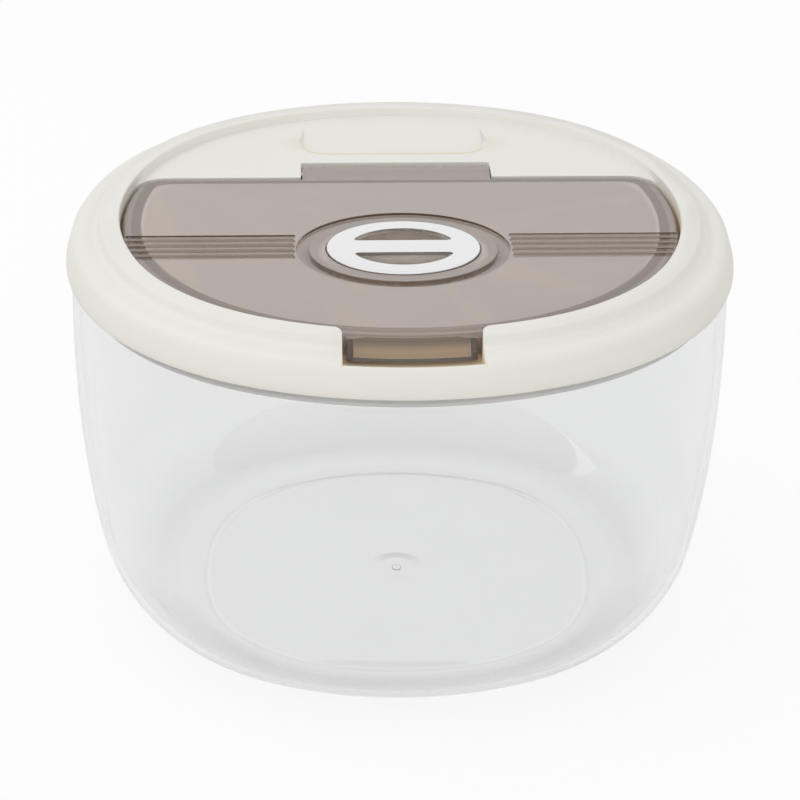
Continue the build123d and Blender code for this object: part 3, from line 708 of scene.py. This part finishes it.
def settle(name, mesh, node, replaced):
    """Links a made mesh, gives it its node's finish and body, and lets it stand for CAD nodes."""
    if SLOT_OF[node] == "smoke_plastic":
        keep_depth(mesh)
    piece = bpy.data.objects.new(name, mesh)
    bpy.context.scene.collection.objects.link(piece)
    mesh.materials.clear()
    mesh.materials.append(finish_of(SLOT_OF[node]))
    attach(piece, BODY_OF[node])
    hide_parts(*replaced)
    return piece


def welded(node):
    """A closed mesh with whole flat faces, from a copy of a CAD node's loose triangles."""
    mesh = frame["nodes"][node].data.copy()
    work = bmesh.new()
    work.from_mesh(mesh)
    bmesh.ops.remove_doubles(work, verts=work.verts, dist=WELD)
    flat = math.radians(FLAT_ANGLE)
    bmesh.ops.dissolve_limit(work, angle_limit=flat, verts=work.verts, edges=work.edges)
    work.to_mesh(mesh)
    work.free()
    return mesh


def shade_smooth(mesh, angle):
    """Gives a mesh smooth shading that stops at edges sharper than an angle."""
    mesh.polygons.foreach_set("use_smooth", [True] * len(mesh.polygons))
    mesh.set_sharp_from_angle(angle=math.radians(angle))


def evaluated(mesh, *steps):
    """The mesh after a row of modifiers, each given as its kind and its settings."""
    bench = bpy.data.objects.new("bench", mesh)
    bpy.context.scene.collection.objects.link(bench)
    for kind, settings in steps:
        modifier = bench.modifiers.new(kind.lower(), kind)
        for name, value in settings.items():
            setattr(modifier, name, value)
    graph = bpy.context.evaluated_depsgraph_get()
    made = bpy.data.meshes.new_from_object(bench.evaluated_get(graph))
    bpy.data.objects.remove(bench)
    return made


def smoothed(mesh):
    """Smooth shading up to hard edges, with the flats leading and the small bevels following."""
    shade_smooth(mesh, HARD_ANGLE)
    return evaluated(mesh, ("WEIGHTED_NORMAL", {"keep_sharp": True, "weight": FACE_WEIGHT}))


def eased(mesh, rounds):
    """The mesh with its shading blended over smooth neighbours, as on a soft moulded rim."""
    work = bmesh.new()
    work.from_mesh(mesh)
    work.verts.ensure_lookup_table()
    free = [
        vert.co.xy.length > RIM_INSIDE and all(edge.smooth for edge in vert.link_edges)
        for vert in work.verts
    ]
    near = [[edge.other_vert(vert).index for edge in vert.link_edges] for vert in work.verts]
    near = [[other for other in others if free[other]] for others in near]
    work.free()
    corners = [corner.vector.copy() for corner in mesh.corner_normals]
    corner_of = {loop.vertex_index: index for index, loop in enumerate(mesh.loops)}
    normals = [corners[corner_of[place]].copy() for place in range(len(near))]
    for _ in range(rounds):
        added = [
            sum((normals[other] for other in others), Vector()) / max(1, len(others))
            for others in near
        ]
        normals = [
            (normal + extra if loose else normal).normalized()
            for normal, extra, loose in zip(normals, added, free)
        ]
    kept = [
        normals[loop.vertex_index] if free[loop.vertex_index] else corner
        for loop, corner in zip(mesh.loops, corners)
    ]
    mesh.normals_split_custom_set(kept)
    return mesh


def softened(node, name, round_off=EDGE_ROUND, ease=0):
    """A piece from a CAD node with its hard edges rounded off."""
    mesh = welded(node)
    if round_off:
        mesh = evaluated(
            mesh,
            (
                "BEVEL",
                {
                    "width": round_off,
                    "segments": 2,
                    "limit_method": "ANGLE",
                    "angle_limit": math.radians(HARD_ANGLE),
                    "use_clamp_overlap": False,
                    "miter_outer": "MITER_ARC",
                },
            ),
        )
    mesh = smoothed(mesh)
    if ease:
        mesh = eased(mesh, ease)
    return settle(name, mesh, node, (node,))


# The nearly round outline, and sections swept round it


def outline_guide(steps):
    """Points that carry, for each step round, the way outward and the squared corners' pull."""
    side = math.radians(SIDE_ARC)
    lean = math.cos(side) - math.sin(side)
    spread = (math.sqrt(2) - 1) * math.sin(side) + math.cos(side) - 1
    outward, square = [], []
    for step in range(steps):
        angle = 2 * math.pi * step / steps
        turn = round(angle / (math.pi / 2)) * math.pi / 2
        out = Vector((math.cos(angle), math.sin(angle), 0))
        ahead = Vector((math.cos(turn), math.sin(turn), 0))
        if abs(angle - turn) <= side:
            pull = lean * (out - ahead)
        else:
            corner = ahead + Vector((-ahead.y, ahead.x, 0)) * math.copysign(1, angle - turn)
            pull = (lean - 1) * out + math.sin(side) * corner
        outward.append(out)
        square.append(pull / spread)
    mesh = bpy.data.meshes.new("outline_guide")
    mesh.from_pydata([tuple(out) for out in outward], [], [])
    for name, vectors in (("outward", outward), ("square", square)):
        layer = mesh.attributes.new(name, "FLOAT_VECTOR", "POINT")
        layer.data.foreach_set("vector", [part for vector in vectors for part in vector])
    guide = bpy.data.objects.new("outline_guide", mesh)
    bpy.context.scene.collection.objects.link(guide)
    return guide


def sweep_tree():
    """Nodes that sweep section points (half width, corner pull, height) round an outline."""
    tree = bpy.data.node_groups.new("sweep_round_outline", "GeometryNodeTree")
    face = tree.interface
    face.new_socket("Geometry", in_out="OUTPUT", socket_type="NodeSocketGeometry")
    for name, kind in (
        ("Geometry", "NodeSocketGeometry"),
        ("Outline", "NodeSocketObject"),
        ("Steps Round", "NodeSocketInt"),
        ("Section Points", "NodeSocketInt"),
        ("Weld", "NodeSocketFloat"),
        ("Finish", "NodeSocketMaterial"),
    ):
        face.new_socket(name, in_out="INPUT", socket_type=kind)
    nodes = Nodes(tree)
    given = nodes.add("NodeGroupInput").outputs
    around = maths(nodes, "ADD", given["Steps Round"], 1.0)
    grid = nodes.add("GeometryNodeMeshGrid", Vertices_X=given["Section Points"], Vertices_Y=around)
    place = nodes.add("GeometryNodeInputIndex").outputs[0]
    row = maths(nodes, "FLOOR", maths(nodes, "DIVIDE", place, around))
    column = maths(nodes, "MODULO", place, around)
    step = maths(nodes, "MODULO", column, given["Steps Round"])
    guide = nodes.add("GeometryNodeObjectInfo", Object=given["Outline"]).outputs["Geometry"]
    position = nodes.add("GeometryNodeInputPosition").outputs[0]

    def sampled(geometry, value, index):
        settings = {"data_type": "FLOAT_VECTOR", "domain": "POINT"}
        node = nodes.add("GeometryNodeSampleIndex", settings, Geometry=geometry, Index=index)
        nodes.feed(node, "Value", value)
        return node.outputs["Value"]

    def scaled(name, amount):
        settings = {"data_type": "FLOAT_VECTOR"}
        field = nodes.add("GeometryNodeInputNamedAttribute", settings, Name=name)
        vector = sampled(guide, field.outputs["Attribute"], step)
        scale = nodes.add("ShaderNodeVectorMath", {"operation": "SCALE"}, _0=vector, Scale=amount)
        return scale.outputs[0]

    def added(first, second):
        both = nodes.add("ShaderNodeVectorMath", {"operation": "ADD"}, _0=first, _1=second)
        return both.outputs[0]

    here = sampled(given["Geometry"], position, row)
    point = nodes.add("ShaderNodeSeparateXYZ", Vector=here).outputs
    level = added(scaled("outward", point["X"]), scaled("square", point["Y"]))
    there = added(level, nodes.add("ShaderNodeCombineXYZ", Z=point["Z"]).outputs[0])
    made = grid.outputs["Mesh"]
    for kind, inputs in (
        ("GeometryNodeSetPosition", {"Position": there}),
        ("GeometryNodeMergeByDistance", {"Distance": given["Weld"]}),
        ("GeometryNodeRealizeInstances", {}),
        ("GeometryNodeSetMaterial", {"Material": given["Finish"]}),
    ):
        made = nodes.add(kind, Geometry=made, **inputs).outputs[0]
    nodes.add("NodeGroupOutput", Geometry=made)
    return tree


def built(tree, mesh, **inputs):
    """The plain mesh that a Geometry Nodes tree makes from a mesh and named inputs."""
    bench = bpy.data.objects.new("bench", mesh)
    bpy.context.scene.collection.objects.link(bench)
    modifier = bench.modifiers.new("build", "NODES")
    modifier.node_group = tree
    for item in tree.interface.items_tree:
        key = item.name.replace(" ", "_")
        if item.in_out == "INPUT" and key in inputs:
            modifier[item.identifier] = inputs[key]
    graph = bpy.context.evaluated_depsgraph_get()
    made = bpy.data.meshes.new_from_object(bench.evaluated_get(graph))
    bench.modifiers.remove(modifier)
    bpy.data.objects.remove(bench)
    return made


def turned_outwards(mesh):
    """The mesh with its faces pointing out, for a shape swept as one closed skin."""
    work = bmesh.new()
    work.from_mesh(mesh)
    if work.calc_volume(signed=True) < 0:
        bmesh.ops.reverse_faces(work, faces=work.faces)
    work.to_mesh(mesh)
    work.free()
    return mesh


def swept(section, finish):
    """A closed mesh from section points (half width, corner pull, height) round the outline."""
    steps = sizes().steps_round
    tree = bpy.data.node_groups.get("sweep_round_outline") or sweep_tree()
    guide = bpy.data.objects.get("outline_guide") or outline_guide(steps)
    row = bpy.data.meshes.new("section")
    row.from_pydata(section, [], [])
    mesh = built(
        tree,
        row,
        Outline=guide,
        Steps_Round=steps,
        Section_Points=len(section),
        Weld=WELD,
        Finish=finish,
    )
    return turned_outwards(mesh)


def arc_between(start, heading, end, steps):
    """Points of an arc from a start and heading to an end, and the heading there."""
    chord = end - start
    turn = 2 * (math.atan2(chord.y, chord.x) - math.atan2(heading.y, heading.x))
    left = Vector((-heading.y, heading.x)).normalized()
    radius = chord.length_squared / (2 * chord.dot(left))
    middle = start + left * radius
    turns = [Matrix.Rotation(turn * step / steps, 2) for step in range(1, steps + 1)]
    return [middle + each @ (start - middle) for each in turns], Matrix.Rotation(turn, 2) @ heading


def rounded(corners):
    """A row of corners, each (x, y, radius), turned into arcs; radius 0 keeps one sharp."""
    row = []
    for place, (x, y, radius) in enumerate(corners):
        here = Vector((x, y))
        if not radius:
            row.append(here)
            continue
        before = (Vector(corners[place - 1][:2]) - here).normalized()
        after = (Vector(corners[(place + 1) % len(corners)][:2]) - here).normalized()
        half = before.angle(after) / 2
        middle = here + (before + after).normalized() * (radius / math.sin(half))
        start = here + before * (radius / math.tan(half)) - middle
        end = here + after * (radius / math.tan(half)) - middle
        swing = start.angle_signed(end)
        for step in range(CORNER_STEPS + 1):
            row.append(middle + Matrix.Rotation(-swing * step / CORNER_STEPS, 2) @ start)
    return row


class PieceOperator(bpy.types.Operator):
    """Base of the operators that make pieces."""

    bl_options = {"REGISTER", "UNDO"}

    def execute(self, context):
        self.make()
        return {"FINISHED"}


def bowl_outside():
    """Points up the bowl's outside, each with the way its skin heads there."""
    s = sizes()
    growth = s.belly - s.foot
    marks = [Vector((s.foot + out * growth, up * s.bowl_height)) for out, up in BOWL_PROFILE]
    marks.append(Vector((s.mouth, s.bowl_height)))
    heading = Vector((1, FOOT_SLOPE)).normalized()
    outer = [(marks[0], heading)]
    for start, end in zip(marks, marks[1:]):
        points, last = arc_between(start, heading, end, ARC_STEPS)
        swing = heading.angle_signed(last)
        for step, point in enumerate(points, 1):
            outer.append((point, Matrix.Rotation(swing * -step / ARC_STEPS, 2) @ heading))
        heading = last
    return outer


def bowl_section():
    """Section points of the bowl, from its floor's middle over the rim to the mark below."""
    s = sizes()
    outer = bowl_outside()
    inner = [point + s.bowl_wall * Vector((-way.y, way.x)) for point, way in outer]
    inner = [point for point in inner if point.x > s.foot_ring + FLOOR_CORNER]
    inner = [Vector((0, s.bowl_wall)), Vector((s.foot_ring, s.bowl_wall)), *inner]
    rim = [(inner[-1].x, inner[-1].y, s.rim_round), (outer[-1][0].x, outer[-1][0].y, s.rim_round)]
    ends = [(inner[-2].x, inner[-2].y, 0), *rim, (outer[-2][0].x, outer[-2][0].y, 0)]
    dimple, nub = FOOT_RECESS + DIMPLE_DEPTH, FOOT_RECESS - NUB_HEIGHT
    under = rounded(
        [
            (s.foot, 0, FOOT_CORNER),
            (s.foot_ring + RING_HALF, 0, SOFT_CORNER),
            (s.foot_ring - RING_HALF, FOOT_RECESS, SOFT_CORNER),
            (DIMPLE_RADIUS, FOOT_RECESS, SOFT_CORNER),
            (DIMPLE_RADIUS - DIMPLE_SLOPE, dimple, SOFT_CORNER),
            (NUB_RADIUS, dimple, NUB_FILLET),
            (NUB_RADIUS, nub, NUB_CORNER),
            (0, nub, 0),
        ]
    )[CORNER_STEPS + 1 :]
    row = inner[:-1] + rounded(ends)[1:-1] + [point for point, _ in reversed(outer[:-1])] + under
    return [(point.x, square_at(point), point.y) for point in row]


def square_at(point):
    """How far the corners stand out at a point of the bowl's section, less near the middle."""
    s = sizes()
    rise = min(1.0, point.y / (SQUARE_END * s.bowl_height))
    full = s.foot_square + (s.mouth_square - s.foot_square) * rise
    return full * min(1.0, max(0.0, (point.x - DIMPLE_RADIUS) / (s.foot_ring - DIMPLE_RADIUS)))


class CANISTER_OT_bowl(PieceOperator):
    """Make the clear bowl"""

    bl_idname = "canister.bowl"
    bl_label = "Bowl"

    def make(self):
        mesh = swept(bowl_section(), finish_of("clear_plastic"))
        shade_smooth(mesh, BOWL_HARD_ANGLE)
        settle("bowl_shell", mesh, "bowl", ("bowl",))


class CANISTER_OT_lid(PieceOperator):
    """Make the lid cover and its hinge pin"""

    bl_idname = "canister.lid"
    bl_label = "Lid"

    def make(self):
        softened("lid_cover", "lid_shell", COVER_ROUND, RIM_ROUNDS)
        softened("hinge_pin", "flap_pin")


class CANISTER_OT_under_lid(PieceOperator):
    """Make the plate and gasket under the lid"""

    bl_idname = "canister.under_lid"
    bl_label = "Under the lid"

    def make(self):
        softened("lid_liner", "lid_plate")
        softened("lid_gasket", "lid_seal")


class CANISTER_OT_flap(PieceOperator):
    """Make the flap with its liner and gasket"""

    bl_idname = "canister.flap"
    bl_label = "Flap"

    def make(self):
        softened("flap", "flap_panel", FLAP_ROUND)
        softened("flap_liner", "flap_plate")
        softened("flap_gasket", "flap_seal")


class CANISTER_OT_vent(PieceOperator):
    """Make the vent's ring, cup, stem, spring, valve and clip"""

    bl_idname = "canister.vent"
    bl_label = "Vent"

    def make(self):
        softened("vent_ring", "grille_ring")
        softened("vent_button", "vent_cup")
        softened("button_stem", "vent_stem", SMALL_ROUND)
        spring = softened("vent_spring", "lift_spring", 0)
        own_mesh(spring)
        softened("umbrella_valve", "air_valve")
        softened("stem_seal", "stem_washer")
        softened("stem_clip", "retaining_clip", SMALL_ROUND)


class CANISTER_OT_stage(bpy.types.Operator):
    """Make the floor, the light and the camera"""

    bl_idname = "canister.stage"
    bl_label = "Stage"
    bl_options = {"REGISTER", "UNDO"}

    def execute(self, context):
        add_floor()
        add_world()
        add_lamps()
        add_camera()
        guide = bpy.data.objects.get("outline_guide")
        if guide:
            bpy.data.objects.remove(guide)
        context.scene.view_settings.view_transform = "Standard"
        return {"FINISHED"}


def seen_directly(nodes):
    """One where a ray comes from the camera, a mirror or clear plastic."""
    path = nodes.add("ShaderNodeLightPath").outputs
    return largest(nodes, path["Is Camera Ray"], path["Is Glossy Ray"], path["Is Transmission Ray"])


def add_floor():
    """A pale floor that keeps the canister's shadow and throws little light up at it."""
    material, nodes, out = new_material("pale_floor")
    bounce = nodes.add("ShaderNodeLightPath").outputs["Is Diffuse Ray"]
    tone = between(nodes, bounce, FLOOR_PAINT, FLOOR_BOUNCE)
    paint = nodes.add("ShaderNodeBsdfDiffuse", Color=tone)
    white = nodes.add("ShaderNodeEmission", Color=(1, 1, 1, 1), Strength=1.0)
    share = product(nodes, seen_directly(nodes), FLOOR_WHITE)
    looks = nodes.add(
        "ShaderNodeMixShader", _0=share, _1=paint.outputs["BSDF"], _2=white.outputs["Emission"]
    )
    nodes.feed(out, "Surface", looks.outputs["Shader"])
    mesh = bpy.data.meshes.new("floor")
    signs = ((-1, -1), (1, -1), (1, 1), (-1, 1))
    corners = [(x * FLOOR_HALF, y * FLOOR_HALF, FLOOR) for x, y in signs]
    mesh.from_pydata(corners, [], [(0, 1, 2, 3)])
    mesh.materials.append(material)
    floor = bpy.data.objects.new("floor", mesh)
    bpy.context.scene.collection.objects.link(floor)


def add_world():
    """Even white light from all round, which looks white itself."""
    world = bpy.data.worlds.new("studio")
    bpy.context.scene.world = world
    world.use_nodes = True
    world.node_tree.nodes.clear()
    nodes = Nodes(world.node_tree)
    strength = nodes.add("ShaderNodeMapRange", Value=seen_directly(nodes))
    strength.inputs["To Min"].default_value = WORLD_LIGHT
    power = strength.outputs["Result"]
    glow = nodes.add("ShaderNodeBackground", Color=(1, 1, 1, 1), Strength=power)
    out = nodes.add("ShaderNodeOutputWorld")
    nodes.feed(out, "Surface", glow.outputs["Background"])


def add_lamps():
    """A large soft lamp from the left and above, and another from the front."""
    for name, place, power, size in LAMPS:
        lamp = bpy.data.lights.new(name, "AREA")
        lamp.energy, lamp.size = power, size
        body = bpy.data.objects.new(name, lamp)
        body.visible_glossy = False
        turn = (AIM - Vector(place)).to_track_quat("-Z", "Y").to_matrix().to_4x4()
        body.matrix_world = Matrix.Translation(place) @ turn
        bpy.context.scene.collection.objects.link(body)


def add_camera():
    """The camera at the photograph's viewing angle, fitted to the lid's and bowl's outlines."""
    lens = bpy.data.cameras.new("view")
    lens.lens, lens.sensor_width = LENS, 36.0
    camera = bpy.data.objects.new("view", lens)
    across = Vector((0.99920763, -0.03862619, 0.00959816))
    upward = Vector((0.00947972, 0.46518077, 0.88516495))
    ahead = Vector((0.03865542, 0.88437258, -0.46517834))
    turn = Matrix((across, upward, -ahead)).transposed().to_4x4()
    camera.matrix_world = Matrix.Translation(CAMERA_PLACE) @ turn
    bpy.context.scene.collection.objects.link(camera)
    bpy.context.scene.camera = camera


class CANISTER_PT_panel(bpy.types.Panel):
    """Sidebar panel with the canister's steps"""

    bl_idname = "CANISTER_PT_panel"
    bl_label = "Canister"
    bl_space_type = "VIEW_3D"
    bl_region_type = "UI"
    bl_category = "Canister"

    def draw(self, context):
        for group in (context.scene.canister_sizes, context.scene.canister_colours):
            for name in group.bl_rna.properties.keys():
                if name not in ("rna_type", "name"):
                    self.layout.prop(group, name)
        for step in STEPS:
            self.layout.operator(step.bl_idname)


STEPS = (
    CANISTER_OT_bowl,
    CANISTER_OT_lid,
    CANISTER_OT_under_lid,
    CANISTER_OT_flap,
    CANISTER_OT_vent,
    CANISTER_OT_stage,
)
CLASSES = (CanisterSizes, CanisterColours, *STEPS, CANISTER_PT_panel)


def register():
    for each in CLASSES:
        bpy.utils.register_class(each)
    bpy.types.Scene.canister_sizes = PointerProperty(type=CanisterSizes)
    bpy.types.Scene.canister_colours = PointerProperty(type=CanisterColours)


def unregister():
    del bpy.types.Scene.canister_colours
    del bpy.types.Scene.canister_sizes
    for each in reversed(CLASSES):
        bpy.utils.unregister_class(each)


def main():
    register()
    for step in STEPS:
        group, name = step.bl_idname.split(".")
        getattr(getattr(bpy.ops, group), name)()


if __name__ == "__main__":
    main()
